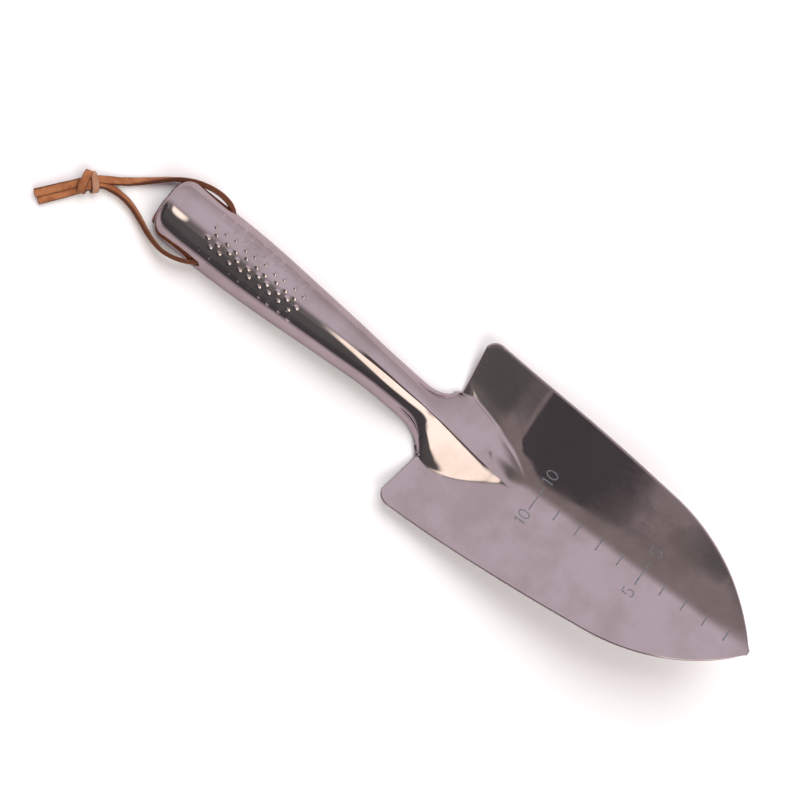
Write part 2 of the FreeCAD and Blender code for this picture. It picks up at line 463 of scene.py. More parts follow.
def path_length(path: np.ndarray) -> float:
    """Length of a path of straight pieces."""
    return float(np.linalg.norm(np.diff(path, axis=0), axis=1).sum())


@dataclass
class RestPose:
    """How the tool lies on the table: the blade's frame, tilted tip up and set on its heel."""

    pitch: float = math.radians(16.4)
    heel_height: float = 5.667
    middle: float = 2.49

    def lay_down(self, points: np.ndarray) -> np.ndarray:
        """Takes points from the blade's frame in millimetres to the rest frame in metres."""
        c, s = math.cos(self.pitch), math.sin(self.pitch)
        x, y, z = points[..., 0], points[..., 1], points[..., 2]
        up = np.maximum(x * s + z * c - self.heel_height, 0.0)
        return np.stack((x * c - z * s - self.middle, y, up), -1) * MM

    def turn(self, direction: Point) -> Vector:
        """Turns a direction of the blade's frame into the rest frame."""
        c, s = math.cos(self.pitch), math.sin(self.pitch)
        x, y, z = direction
        return Vector((x * c - z * s, y, x * s + z * c)).normalized()


@dataclass
class Blade:
    """The pointed scoop: its outline in plan and the height of its upper surface."""

    length: float = 148.6
    valley_slope: float = math.tan(math.radians(16.0))
    valley_round: float = 6.0
    heel_lift: float = 4.5
    heel_length: float = 32.0
    tip_flat_length: float = 26.0
    tip_flattening: float = 0.45
    rim_inset: float = 0.5
    corner: Tuple[float, float] = (0.3, 15.0)
    rear: Tuple[float, float] = (-2.6, 34.2)
    shoulder: Tuple[float, float] = (-0.75, 37.15)
    widest: Tuple[float, float] = (3.4, 38.5)
    side: Tuple[float, float] = (49.0, 35.8)
    nose_start: Tuple[float, float] = (88.0, 31.8)
    nose: Tuple[float, float] = (118.7, 23.6)
    nose_end: Tuple[float, float] = (147.0, 2.9)

    def height(self, x: np.ndarray, y: np.ndarray) -> np.ndarray:
        """Height of the upper surface at points of its plan."""
        lift = self.heel_lift * np.maximum(0.0, 1.0 - x / self.heel_length) ** 2
        flat = smooth_step(x, self.length - self.tip_flat_length, self.length)
        slope = self.valley_slope * (1.0 - self.tip_flattening * flat)
        return lift + slope * (np.sqrt(y * y + self.valley_round ** 2) - self.valley_round)

    def outline(self) -> np.ndarray:
        """One side of the rim in plan, from the corner beside the neck to the tip, set in by the rim's rounding."""
        tip = arc_points(self.nose_end, (self.length, 0.0), (self.nose_end[0], -self.nose_end[1]), 41)[:21]
        path = np.vstack((
            np.linspace(self.corner, self.rear, 60)[:-1],
            arc_points(self.rear, self.shoulder, self.widest, 40)[:-1],
            arc_points(self.widest, self.side, self.nose_start, 160)[:-1],
            arc_points(self.nose_start, self.nose, self.nose_end, 160)[:-1], tip))
        tangent = unit(np.gradient(path, axis=0))
        inward = np.column_stack((tangent[:, 1], -tangent[:, 0]))
        inset = path + inward * self.rim_inset
        inset[-1, 1] = 0.0
        return inset


@dataclass
class Ridge:
    """The arch that is handle, neck and rib in one, by stations along the tool."""

    blade: Blade
    slot_half: float = 5.0
    slot_rear: float = -121.0
    lip_roll: float = 4.5
    end: float = -128.4
    end_round: float = 6.0
    foot_sink: float = 0.35
    crest_drift: Tuple[Tuple[float, float], ...] = (
        (-3.0, 0.0), (0.0, 0.0), (5.0, -0.3), (13.4, -1.0), (21.0, -1.7), (29.0, -2.2), (34.4, -2.8), (40.0, -3.1))
    right_foot: Tuple[Tuple[float, float], ...] = (
        (-8.6, 9.0), (-3.2, 11.8), (2.0, 15.9), (8.0, 16.5), (14.4, 15.2), (22.0, 12.2), (29.1, 8.6), (34.4, 3.9),
        (36.0, 3.2), (42.0, 3.2))
    left_foot: Tuple[Tuple[float, float], ...] = (
        (-8.6, 9.0), (-3.2, 11.8), (2.0, 15.6), (8.0, 15.0), (14.0, 13.6), (19.0, 12.0), (25.7, 9.8), (32.0, 7.4),
        (36.0, 5.2), (40.0, 2.8), (44.0, 1.0))
    stations: Tuple[Tuple[float, ...], ...] = (
        (-128.4, 43.6, 3.6, 60.8, 12.6, 2.25), (-121.0, 41.42, 3.6, 57.95, 12.70, 2.25),
        (-116.0, 40.0, 3.6, 56.15, 12.8, 2.25), (-112.0, 38.77, 3.6, 55.1, 12.85, 2.25),
        (-102.4, 36.85, 3.6, 53.1, 12.87, 2.25), (-86.0, 33.4, 3.6, 49.2, 12.42, 2.25),
        (-64.0, 28.4, 3.6, 43.5, 10.98, 2.2), (-41.5, 23.2, 3.4, 36.9, 9.36, 2.15),
        (-30.5, 19.9, 2.9, 32.8, 8.60, 2.1), (-19.5, 15.4, 2.0, 27.4, 8.42, 2.0),
        (-14.0, 12.6, 1.5, 24.2, 8.45, 1.95), (-8.6, 9.9, 1.0, 20.9, 9.0, 1.8),
        (-3.2, 7.8, 0.7, 16.9, 11.6, 1.55), (2.0, 0.0, 0.7, 13.2, 15.4, 1.4),
        (8.0, 0.0, 0.7, 9.8, 15.9, 1.32), (14.0, 0.0, 0.7, 7.1, 15.0, 1.28),
        (21.0, 0.0, 0.7, 4.3, 12.3, 1.25), (27.0, 0.0, 0.7, 2.3, 8.6, 1.25),
        (32.0, 0.0, 0.7, 1.15, 4.7, 1.25), (35.5, 0.0, 0.7, 0.75, 1.8, 1.25), (38.5, 0.0, 0.7, 0.4, 0.8, 1.25))

    def __post_init__(self) -> None:
        """Fits the curves that every reading uses."""
        table = np.array(self.stations)
        x, foot, lip, crest, half, power = table.T
        on_blade = x > 0
        foot = np.where(on_blade, self.blade.height(x, half) - self.foot_sink - lip, foot)
        self.base = Curve(x, foot + lip)
        self.lip = Curve(x, lip)
        self.crest = Curve(x, crest)
        self.half = Curve(x, half)
        self.power = Curve(x, power)
        self.drift = Curve(*zip(*self.crest_drift))
        self.feet = {Side.RIGHT: Curve(*zip(*self.right_foot)), Side.LEFT: Curve(*zip(*self.left_foot))}
        slot_x = (-200.0, -56.0, -42.0, -30.5, -16.0, -8.6, -3.2, 0.0, 3.0)
        slot_y = (self.slot_half, self.slot_half, 7.5, 7.15, 7.0, 8.4, 11.3, 14.0, 15.0)
        self.slot_table = (slot_x, slot_y)

    def slot(self, x: float) -> float:
        """Half width of the gap between the rolled lips at a station, none behind its rear end."""
        if x < self.slot_rear:
            return 0.0
        half = float(np.interp(x, *self.slot_table))
        behind = self.slot_rear + self.slot_half - x
        return math.sqrt(max(self.slot_half ** 2 - behind ** 2, 0.0)) if behind > 0 else half

    def middle(self, x: float) -> float:
        """Where the crest runs: it drifts to the right of the middle line as the rib runs out."""
        return float(self.drift(x)) * (1.0 - float(smooth_step(x, 36.0, 46.0))) if x > 0.0 else 0.0

    def reach(self, x: float, side: Side) -> float:
        """Distance from the crest to the arch's foot on one side."""
        if x < -3.2:
            return float(self.half(x))
        return float(self.feet[side](x)) + abs(self.middle(x)) * (1 if side is Side.LEFT else -1)

    def arch(self, x: float, gap: np.ndarray, side: Side) -> np.ndarray:
        """Height of the rib at distances from its crest, sinking steeply outside its foot.

        Args:
            x: the station.
            gap: distances from the crest line.
            side: the side of the tool.

        Returns:
            The heights.
        """
        width, power, base = max(self.reach(x, side), 0.3), float(self.power(x)), float(self.base(x))
        if side is Side.LEFT:
            power = 1.0 + (power - 1.0) * (1.0 - float(smooth_step(x, 14.0, 28.0)))
        share = np.clip(gap / width, 0.0, 1.0)
        over = base + (float(self.crest(x)) - base) * (1 - share ** power) ** (1 / power)
        return over - 1.5 * np.maximum(gap - width, 0.0) - 0.02 * max(x - 28.0, 0.0) ** 2


@dataclass
class GripDots:
    """Raised dots pressed into the handle's back, in staggered rows."""

    start: float = -107.5
    pitch: float = 4.5
    count: int = 10
    row_gap: float = 2.7
    rows: int = 7
    radius: float = 1.12
    height: float = 0.33

    def lift(self, x: np.ndarray, across: np.ndarray) -> np.ndarray:
        """How far the dots raise the sheet.

        Args:
            x: stations along the tool.
            across: lengths round the arch from its crest, with a sign for the side.

        Returns:
            The lift at each point, in millimetres.
        """
        total = np.zeros(np.broadcast(x, across).shape)
        for row in range(self.rows):
            centre = (row - (self.rows - 1) / 2) * self.row_gap
            first = self.start + (self.pitch / 2 if row % 2 else 0.0)
            near = np.clip(np.round((x - first) / self.pitch), 0, self.count - 1 - row % 2)
            stray = 0.3 * np.sin(near * 2.4 + row * 1.7), 0.3 * np.sin(near * 4.1 + row * 2.9)
            gap = np.hypot(x - first - near * self.pitch - stray[0], across - centre - stray[1]) / self.radius
            fade = 1.0 if abs(centre) < 6 else 0.6
            total = total + self.height * fade * np.where(gap < 1, (1 - np.clip(gap, 0, 1) ** 2) ** 2, 0.0)
        return total


@dataclass
class Pressing:
    """The whole steel sheet: closed handle end, channel handle, neck, rib and blade."""

    blade: Blade
    ridge: Ridge
    dots: GripDots
    pose: RestPose
    sheet: float = 1.2
    hole: Tuple[float, float] = (-118.2, 8.0)
    hole_radius: float = 2.1
    fillet: Dict[Side, float] = field(default_factory=lambda: {Side.RIGHT: 0.8, Side.LEFT: 2.2})

    def columns(self) -> Tuple[np.ndarray, np.ndarray]:
        """Shares across one side: of the arch from crest to foot, and of the lip or flank beyond it."""
        inner = np.concatenate((np.linspace(0, 0.36, 31)[:-1], np.linspace(0.36, 1.0, 30)))
        outer = np.linspace(0, 1, 29)[1:]
        return inner, outer

    def stations(self) -> np.ndarray:
        """Where the rows cross the middle line, closest together where the shape turns quickest."""
        spans = ((-122.4, -108.5, 0.7), (-108.5, -65.0, 0.27), (-65.0, -22.0, 0.9), (-22.0, 42.0, 0.45),
                 (42.0, 140.0, 1.3), (140.0, 147.9, 0.5))
        return np.concatenate([np.linspace(a, b, int(round((b - a) / step)), endpoint=False)
                               for a, b, step in spans] + [[148.1]])

    def half_row(self, x: float, reach: float, side: Side, inset: float = 0.0) -> np.ndarray:
        """One side of a row, from the crest or valley line out to the rim.

        Args:
            x: the station where the row crosses the middle line.
            reach: length along the blade's outline at which the row ends, if it is on the blade.
            side: which side of the tool.
            inset: how far the section is drawn in, to round the closed end.

        Returns:
            The row's points in the blade's frame.
        """
        inner, outer = self.columns()
        ridge, blade = self.ridge, self.blade
        lip, power, base = float(ridge.lip(x)), float(ridge.power(x)), float(ridge.base(x))
        half, crest = float(ridge.half(x)) - inset, float(ridge.crest(x)) - 1.2 * inset ** 2 / ridge.end_round
        angle = 0.5 * math.pi * (1 - inner)
        shape = np.cos(angle) ** (2 / power)
        end = follow(self.rim, np.array([reach]))[0]
        middle = ridge.middle(x) * side.value
        foot = half if x < -3.2 else ridge.reach(x, side)
        blend = float(smooth_step(x, 3.0, 14.0))
        room = 0.52 * end[1] + 8.5 * (1 - float(smooth_step(x, 10, 40)))
        width = foot if x < -3.2 else min(max(foot, 14.5 * blend), room)
        gap = width * ((1 - blend) * shape + blend * inner)
        z = ridge.arch(x, gap, side) if x >= 2.0 else base + (crest - base) * np.sin(angle) ** (2 / power)
        y = middle + gap
        fade = float(smooth_step(x, 0.0, 7.0)) * (1.0 - float(smooth_step(x, 34.0, 52.0)))
        soft = self.softness(gap, side) * fade
        if x > -6.0:
            z = self.blend_heights(z, blade.height(np.full_like(y, x), y), soft)
        arch = np.column_stack((np.full_like(y, x), y, z))
        flank = follow(np.vstack((arch[-1, :2], end)), outer * np.linalg.norm(end - arch[-1, :2]))
        over = ridge.arch(x, flank[:, 1] - middle, side)
        soft = self.softness(flank[:, 1] - middle, side) * fade
        height = self.blend_heights(over, blade.height(flank[:, 0], flank[:, 1]), soft)
        flank = np.column_stack((flank, height))
        share = float(smooth_step(x, -5.0, 0.5))
        if share < 1.0:
            flank = self.wall(x, half, base, lip, inset) * (1 - share) + flank * share
        row = np.vstack((arch, flank))
        row[:, 1] *= side.value
        return row

    def softness(self, gap: np.ndarray, side: Side) -> np.ndarray:
        """Size of the fillet at distances from the crest: alike on both sides there, wider at the left foot."""
        sharp, wide = self.fillet[Side.RIGHT], self.fillet[side]
        return sharp + (wide - sharp) * smooth_step(gap, 0.5, 7.0)

    def blend_heights(self, first: np.ndarray, second: np.ndarray, soft: np.ndarray) -> np.ndarray:
        """The higher of two surfaces, with a hollow fillet where they cross."""
        return 0.5 * (first + second + np.sqrt((first - second) ** 2 + soft ** 2))

    def wall(self, x: float, half: float, base: float, lip: float, inset: float) -> np.ndarray:
        """The side wall under the arch of one section, rolled inwards to the gap between the lips.

        Args:
            x: the station.
            half: half width of the section.
            base: height of its widest line.
            lip: how far the wall goes down from there.
            inset: how far the section is drawn in, at the closed end.

        Returns:
            The wall's points, below the arch's foot.
        """
        outer = self.columns()[1]
        roll = min(self.ridge.lip_roll, 1.25 * lip)
        turn = np.linspace(0, 0.5 * math.pi, 30)
        lips = np.column_stack((half - roll * (1 - np.cos(turn)), base - lip * np.sin(turn) + 0.3 * inset))
        lips = np.vstack((lips, [0.0, lips[-1, 1]]))
        slot = self.ridge.slot(x)
        keep = lips[:, 0] > slot + 1e-6
        cut = int(np.argmin(keep)) if not keep.all() else len(lips) - 1
        a, b = lips[cut - 1], lips[cut]
        t = (a[0] - slot) / max(a[0] - b[0], 1e-9)
        lips = np.vstack((lips[:cut], a + (b - a) * min(max(t, 0.0), 1.0)))
        points = follow(lips, outer * path_length(lips))
        return np.column_stack((np.full(len(points), x), points))

    def rows(self) -> Tuple[np.ndarray, int]:
        """All rows, from the closed end to the tip and from the right rim to the left.

        Returns:
            The rows as an array of points, and how many of them close under the handle's end.
        """
        self.rim = self.blade.outline()
        total = path_length(self.rim)
        back = path_length(self.rim[:60])
        round_end = back + path_length(self.rim[60:100])
        knots_x = (-3.2, 2.0, 6.0, 24.0, 33.0, 42.0, 60.0, 100.0, 132.0, 148.1)
        knots_l = (0.0, 0.02 * back, 0.22 * back, back, round_end, round_end + 12.0, round_end + 40.0,
                   round_end + 92.0, round_end + 132.0, total - 2.6)
        reach = Curve(knots_x, knots_l)
        ridge = self.ridge
        plan = []
        for turn in (2.0, 12.0, 22.0, 32.0, 42.0, 52.0, 62.0, 72.0, 82.0):
            a = math.radians(turn)
            plan.append((ridge.end + ridge.end_round * (1 - math.cos(a)), ridge.end_round * (1 - math.sin(a))))
        plan += [(float(x), 0.0) for x in self.stations()]
        done = []
        for x, inset in plan:
            at = float(np.clip(reach(x), 0.0, total))
            right, left = (self.half_row(x, at, side, inset) for side in (Side.RIGHT, Side.LEFT))
            done.append(np.vstack((right[:0:-1], left)))
        rows = np.array(done)
        closed = int(np.sum(rows[:, rows.shape[1] // 2, 0] < ridge.slot_rear + 0.01))
        return rows, closed

    def cap(self, ring: np.ndarray) -> List[np.ndarray]:
        """Rows that close the handle's flat end, drawn in from its first section towards the middle."""
        centre = np.array((ring[0, 0], 0.0, 0.5 * (ring[:, 2].max() + ring[:, 2].min())))
        out = []
        for share, bulge in ((0.05, 0.34), (0.3, 0.3), (0.55, 0.22), (0.75, 0.13), (0.9, 0.05)):
            row = centre + (ring - centre) * share
            row[:, 0] -= bulge
            out.append(row)
        return out

    def build(self, steel: bpy.types.Material) -> bpy.types.Object:
        """Builds the sheet with its thickness, rounded rims, dots and the thong's two holes.

        Args:
            steel: the sheet's material.

        Returns:
            The object.
        """
        grid, closed = self.rows()
        grid = np.concatenate((np.array(self.cap(grid[0])), grid))
        closed += 5
        count, width = grid.shape[:2]
        middle = width // 2
        steps = np.linalg.norm(np.diff(grid, axis=1), axis=2)
        across = np.concatenate((np.zeros((count, 1)), np.cumsum(steps, axis=1)), axis=1)
        across -= across[:, middle:middle + 1]
        normal = self.normals(grid, closed)
        lift = self.dots.lift(grid[..., 0], across)
        lift[:closed] = 0.0
        lift[grid[..., 0] > -60] = 0.0
        upper = grid + normal * lift[..., None]
        lower = upper - normal * self.sheet
        return self.assemble(upper, lower, normal, closed, steel)

    def normals(self, grid: np.ndarray, closed: int) -> np.ndarray:
        """Unit normals of a grid of rows, outwards from the arch."""
        along = np.gradient(grid, axis=0)
        side = np.gradient(grid, axis=1)
        ring = grid[:closed]
        side[:closed, 0] = ring[:, 1] - ring[:, -2]
        side[:closed, -1] = side[:closed, 0]
        return unit(np.cross(along, side))

    def assemble(self, upper: np.ndarray, lower: np.ndarray, normal: np.ndarray, closed: int,
                 steel: bpy.types.Material) -> bpy.types.Object:
        """Joins the two skins with a rounded rim and cuts the holes.

        Args:
            upper: points of the upper skin.
            lower: points of the lower skin.
            normal: the sheet's normals.
            closed: how many rows meet under the handle's end.
            steel: the material.

        Returns:
            The finished object.
        """
        count, width = upper.shape[:2]
        index = np.arange(count * width).reshape(count, width)
        index[:closed, -1] = index[:closed, 0]
        gone, upper, lower = self.drill(upper, lower)
        faces = []
        skin = count * width
        for i in range(count - 1):
            for j in range(width - 1):
                quad = [int(q) for q in (index[i, j], index[i, j + 1], index[i + 1, j + 1], index[i + 1, j])]
                if not gone[i, j]:
                    faces += [tuple(quad[::-1]), tuple(q + skin for q in quad)]
                    continue
                beside = ((i - 1, j), (i, j + 1), (i + 1, j), (i, j - 1))
                for k, (a, b) in enumerate(zip(quad, quad[1:] + quad[:1])):
                    if not gone[beside[k]]:
                        faces.append((b, a, a + skin, b + skin))
        ring = [int(q) for q in index[0, :-1]]
        faces += [tuple(ring), tuple(q + skin for q in ring[::-1])]
        points = [upper.reshape(-1, 3), lower.reshape(-1, 3)]
        walk = [(i, width - 1) for i in range(closed - 1, count)] + [(count - 1, j) for j in range(width - 2, -1, -1)]
        walk += [(i, 0) for i in range(count - 2, closed - 1, -1)]
        top = np.array([upper[w] for w in walk])
        out = np.array([self.outward(upper, w) for w in walk])
        up = np.array([normal[w] for w in walk])
        out = unit(out - up * np.sum(out * up, axis=1, keepdims=True))
        loops = [[int(index[w]) for w in walk]]
        base = 2 * count * width
        for turn in (30, 60, 90, 120, 150):
            a = math.radians(turn)
            points.append(top - up * self.sheet / 2 * (1 - math.cos(a)) + out * 0.5 * math.sin(a))
            loops.append(list(range(base, base + len(walk))))
            base += len(walk)
        loops.append([int(index[w]) + count * width for w in walk])
        for a, b in zip(loops, loops[1:]):
            for k in range(len(walk)):
                n = (k + 1) % len(walk)
                faces.append((a[k], a[n], b[n], b[k]))
        cloud = self.pose.lay_down(np.vstack(points))
        used = np.unique(np.concatenate([np.array(face) for face in faces]))
        place = np.zeros(len(cloud), int)
        place[used] = np.arange(len(used))
        item = mesh_object("steel_pressing", cloud[used], [tuple(place[list(face)].tolist()) for face in faces])
        item.data.materials.append(steel)
        return item

    def drill(self, upper: np.ndarray, lower: np.ndarray) -> Tuple[np.ndarray, np.ndarray, np.ndarray]:
        """Opens the thong's hole through both side walls of the handle.

        Args:
            upper: points of the upper skin.
            lower: points of the lower skin.

        Returns:
            Which faces of the grid are gone, and the two skins with the hole's edge drawn to a circle.
        """
        count, width = upper.shape[:2]
        laid = self.pose.lay_down(upper) / MM
        middle = 0.25 * (laid[:-1, :-1] + laid[1:, :-1] + laid[:-1, 1:] + laid[1:, 1:])
        away = np.hypot(middle[..., 0] - self.hole[0], middle[..., 2] - self.hole[1])
        gone = (away < self.hole_radius) & (np.abs(middle[..., 1]) > 8.0)
        touch = np.zeros((4, count, width), bool)
        for k, (di, dj) in enumerate(((0, 0), (1, 0), (0, 1), (1, 1))):
            touch[k, di:count - 1 + di, dj:width - 1 + dj] = gone
        edge = touch.any(axis=0) & ~touch.all(axis=0)
        c, s = math.cos(self.pose.pitch), math.sin(self.pose.pitch)
        skins = []
        for skin in (upper, lower):
            skin, rest = skin.copy(), self.pose.lay_down(skin) / MM
            dx, dz = rest[..., 0] - self.hole[0], rest[..., 2] - self.hole[1]
            pull = np.where(edge, self.hole_radius / np.maximum(np.hypot(dx, dz), 1e-6) - 1.0, 0.0)
            skin[..., 0] += (dx * c + dz * s) * pull
            skin[..., 2] += (-dx * s + dz * c) * pull
            skins.append(skin)
        return gone, skins[0], skins[1]

    def outward(self, grid: np.ndarray, spot: Tuple[int, int]) -> np.ndarray:
        """Direction out of the sheet at a rim vertex, from the vertex behind it."""
        i, j = spot
        if i == grid.shape[0] - 1:
            return grid[i, j] - grid[i - 1, j] + (0.6 * (grid[i, j] - grid[i, j + (1 if j == 0 else -1)])
                                                  if j in (0, grid.shape[1] - 1) else 0.0)
        return grid[i, j] - grid[i, j + (1 if j == 0 else -1)]


# ---------------------------------------------------------------- planting scale


@dataclass
class PlantingScale:
    """Depth marks etched into the blade: a tick each centimetre, with 5 and 10 written on both sides."""

    blade: Blade
    pose: RestPose
    stroke: float = 0.55
    proud: float = 0.035
    first: float = 137.6
    skew: float = math.tan(math.radians(0.9))
    numeral_height: float = 4.7

    def centre(self, x: float) -> float:
        """Where the slightly askew scale line runs at a station."""
        return (x - 60.0) * self.skew

    def stroke_strip(self, line: Sequence[Tuple[float, float]],
                     width: float) -> Tuple[np.ndarray, List[Tuple[int, ...]]]:
        """Makes a thin strip along a line in the blade's plan, lying on the steel.

        Args:
            line: the line's points.
            width: the strip's width.

        Returns:
            Points and faces of the strip.
        """
        path = np.array(line, float)
        path = follow(path, np.linspace(0, path_length(path), max(int(path_length(path) / 0.35), 2) + 1))
        tangent = unit(np.gradient(path, axis=0))
        side = np.column_stack((-tangent[:, 1], tangent[:, 0])) * width / 2
        plan = np.vstack((path + side, path - side))
        z = self.blade.height(plan[:, 0], plan[:, 1]) + self.proud
        n = len(path)
        return np.column_stack((plan, z)), [(k + 1, k, k + n, k + 1 + n) for k in range(n - 1)]

    def numeral(self, text: str) -> List[List[Tuple[float, float]]]:
        """Strokes of a number, one unit high, read along the first coordinate."""
        bowl = [(0.31 + 0.29 * math.sin(a), 0.32 - 0.32 * math.cos(a)) for a in np.linspace(-1.1, 2.75, 18)]
        ring = [(0.31 + 0.28 * math.sin(a), 0.5 + 0.5 * math.cos(a)) for a in np.linspace(0, 2 * math.pi, 29)]
        shapes = {
            "0": (0.62, [ring]),
            "1": (0.42, [[(0.02, 0.8), (0.24, 1.0)], [(0.24, 1.0), (0.24, 0.0)]]),
            "5": (0.62, [[(0.54, 1.0), (0.1, 1.0)], [(0.1, 1.0), (0.06, 0.52)], bowl[::-1]])}
        strokes, shift = [], 0.0
        for sign in text:
            advance, lines = shapes[sign]
            strokes += [[(u + shift, v) for u, v in line] for line in lines]
            shift += advance + 0.14
        return [[(u - (shift - 0.14) / 2, v - 0.5) for u, v in line] for line in strokes]

    def build(self, mark: bpy.types.Material) -> bpy.types.Object:
        """Builds all marks as one piece.

        Args:
            mark: the etched material.

        Returns:
            The object.
        """
        strips = []
        for number in range(1, 11):
            x = self.first - 10.0 * (number - 1)
            length = (Tick.LONG if number % 5 == 0 else Tick.SHORT).value
            y = self.centre(x) - (0.0 if number % 5 == 0 else 0.6)
            strips.append(self.stroke_strip([(x, y - length / 2), (x, y + length / 2)], self.stroke))
            if number % 5:
                continue
            for away in (-9.2, 9.6):
                for line in self.numeral(str(number)):
                    placed = [(x - 0.4 - v * self.numeral_height, y + away + u * self.numeral_height)
                              for u, v in line]
                    strips.append(self.stroke_strip(placed, self.stroke * 0.9))
        points, faces, base = [], [], 0
        for cloud, quads in strips:
            points.append(cloud)
            faces += [tuple(q + base for q in quad) for quad in quads]
            base += len(cloud)
        item = mesh_object("planting_scale", self.pose.lay_down(np.vstack(points)), faces)
        item.data.materials.append(mark)
        return item


# ---------------------------------------------------------------- hanging thong


@dataclass
class Lace:
    """Flat leather lace, cut square at its ends."""

    width: float = 3.1 * MM
    thickness: float = 1.7 * MM
    section: Tuple[Tuple[float, float, float], ...] = (
        (1.0, -0.5, 1.0), (1.01, 0.0, 1.0), (1.0, 0.5, 1.0), (0.93, 0.86, 0.7), (0.78, 1.0, 0.1), (0.4, 1.02, 0.0),
        (0.0, 1.03, 0.0), (-0.4, 1.02, 0.0), (-0.78, 1.0, 0.1), (-0.93, 0.86, 0.7), (-1.0, 0.5, 1.0),
        (-1.01, 0.0, 1.0), (-1.0, -0.5, 1.0), (-0.93, -0.86, 0.7), (-0.78, -1.0, 0.1), (-0.4, -1.02, 0.0),
        (0.0, -1.03, 0.0), (0.4, -1.02, 0.0), (0.78, -1.0, 0.1), (0.93, -0.86, 0.7))

    def leaning(self, path: np.ndarray, lean: np.ndarray) -> np.ndarray:
        """Width directions along a path, turned up from flat on the table by the lean.

        Args:
            path: points of the path.
            lean: degrees at each point, 0 for flat and 90 for on edge.

        Returns:
            A unit vector for each point.
        """
        tangent = unit(np.gradient(path, axis=0))
        flat = unit(np.cross(np.array((0.0, 0.0, 1.0)), tangent))
        rise = np.cross(tangent, flat)
        a = np.radians(lean)[:, None]
        return flat * np.cos(a) + rise * np.sin(a)

    def sweep(self, name: str, path: np.ndarray, broad: np.ndarray, looped: bool = False,
              scale: float = 1.0) -> bpy.types.Object:
        """Sweeps the lace's section along a path.

        Args:
            name: the object's name.
            path: points in metres.
            broad: direction of the lace's width at each point.
            looped: whether the path closes on itself.
            scale: share of the lace's full width and thickness.

        Returns:
            The object, with the layer of its cut edges.
        """
        if looped:
            tangent = unit(np.roll(path, -1, axis=0) - np.roll(path, 1, axis=0))
        else:
            tangent = unit(np.gradient(path, axis=0))
        wide = unit(broad - tangent * np.sum(broad * tangent, axis=1, keepdims=True))
        thick = np.cross(tangent, wide)
        section = np.array(self.section)
        n, m = len(path), len(section)
        run = np.arange(n)
        swell = 1.0 + 0.03 * np.sin(run * 0.55) + 0.02 * np.sin(run * 1.7 + 1.0)
        rings = path[:, None, :] + wide[:, None, :] * (section[None, :, 0, None] * self.width * 0.5 * scale
                                                       * swell[:, None, None])
        rings = rings + thick[:, None, :] * section[None, :, 1, None] * self.thickness * 0.5 * scale
        edge = np.tile(section[:, 2], n)
        faces = []
        for i in range(n if looped else n - 1):
            j = (i + 1) % n
            faces += [(i * m + k, i * m + (k + 1) % m, j * m + (k + 1) % m, j * m + k) for k in range(m)]
        points = rings.reshape(-1, 3)
        if not looped:
            points = np.vstack((points, rings[0], rings[-1]))
            edge = np.concatenate((edge, np.ones(2 * m)))
            faces += [tuple(range(n * m + m - 1, n * m - 1, -1)), tuple(range(n * m + m, n * m + 2 * m))]
        item = mesh_object(name, points, faces)
        layer = item.data.attributes.new("cut_edge", "FLOAT", "POINT")
        layer.data.foreach_set("value", edge.astype(np.float32))
        return item


@dataclass(frozen=True)
class Strand:
    """One free end of the thong: its route from the hole through the knot to its cut end, in metres."""

    name: str
    nodes: Tuple[str, str]
    route: Tuple[Point, ...]
    lean_at: Tuple[float, ...]
    lean: Tuple[float, ...]

    def line(self) -> np.ndarray:
        """Draws the route as one smooth curve and reads points along it."""
        data = bpy.data.curves.new(self.name + "_line", "CURVE")
        data.dimensions = "3D"
        spline = data.splines.new("NURBS")
        spline.points.add(len(self.route) - 1)
        for point, spot in zip(spline.points, self.route):
            point.co = (*spot, 1.0)
        spline.order_u = 3
        spline.use_endpoint_u = True
        spline.resolution_u = 10
        item = bpy.data.objects.new(self.name + "_line", data)
        bpy.context.collection.objects.link(item)
        graph = bpy.context.evaluated_depsgraph_get()
        mesh = bpy.data.meshes.new_from_object(item.evaluated_get(graph))
        points = np.array([tuple(v.co) for v in mesh.vertices])
        bpy.data.objects.remove(item)
        return points

    def build(self, lace: Lace) -> Tuple[bpy.types.Object, np.ndarray]:
        """Sweeps the lace along the route.

        Args:
            lace: the lace.

        Returns:
            The object and the points that it follows.
        """
        path = self.line()
        run = np.concatenate(([0.0], np.cumsum(np.linalg.norm(np.diff(path, axis=0), axis=1))))
        lean = np.interp(run / run[-1], self.lean_at, self.lean)
        return lace.sweep(self.name, path, lace.leaning(path, lean)), path


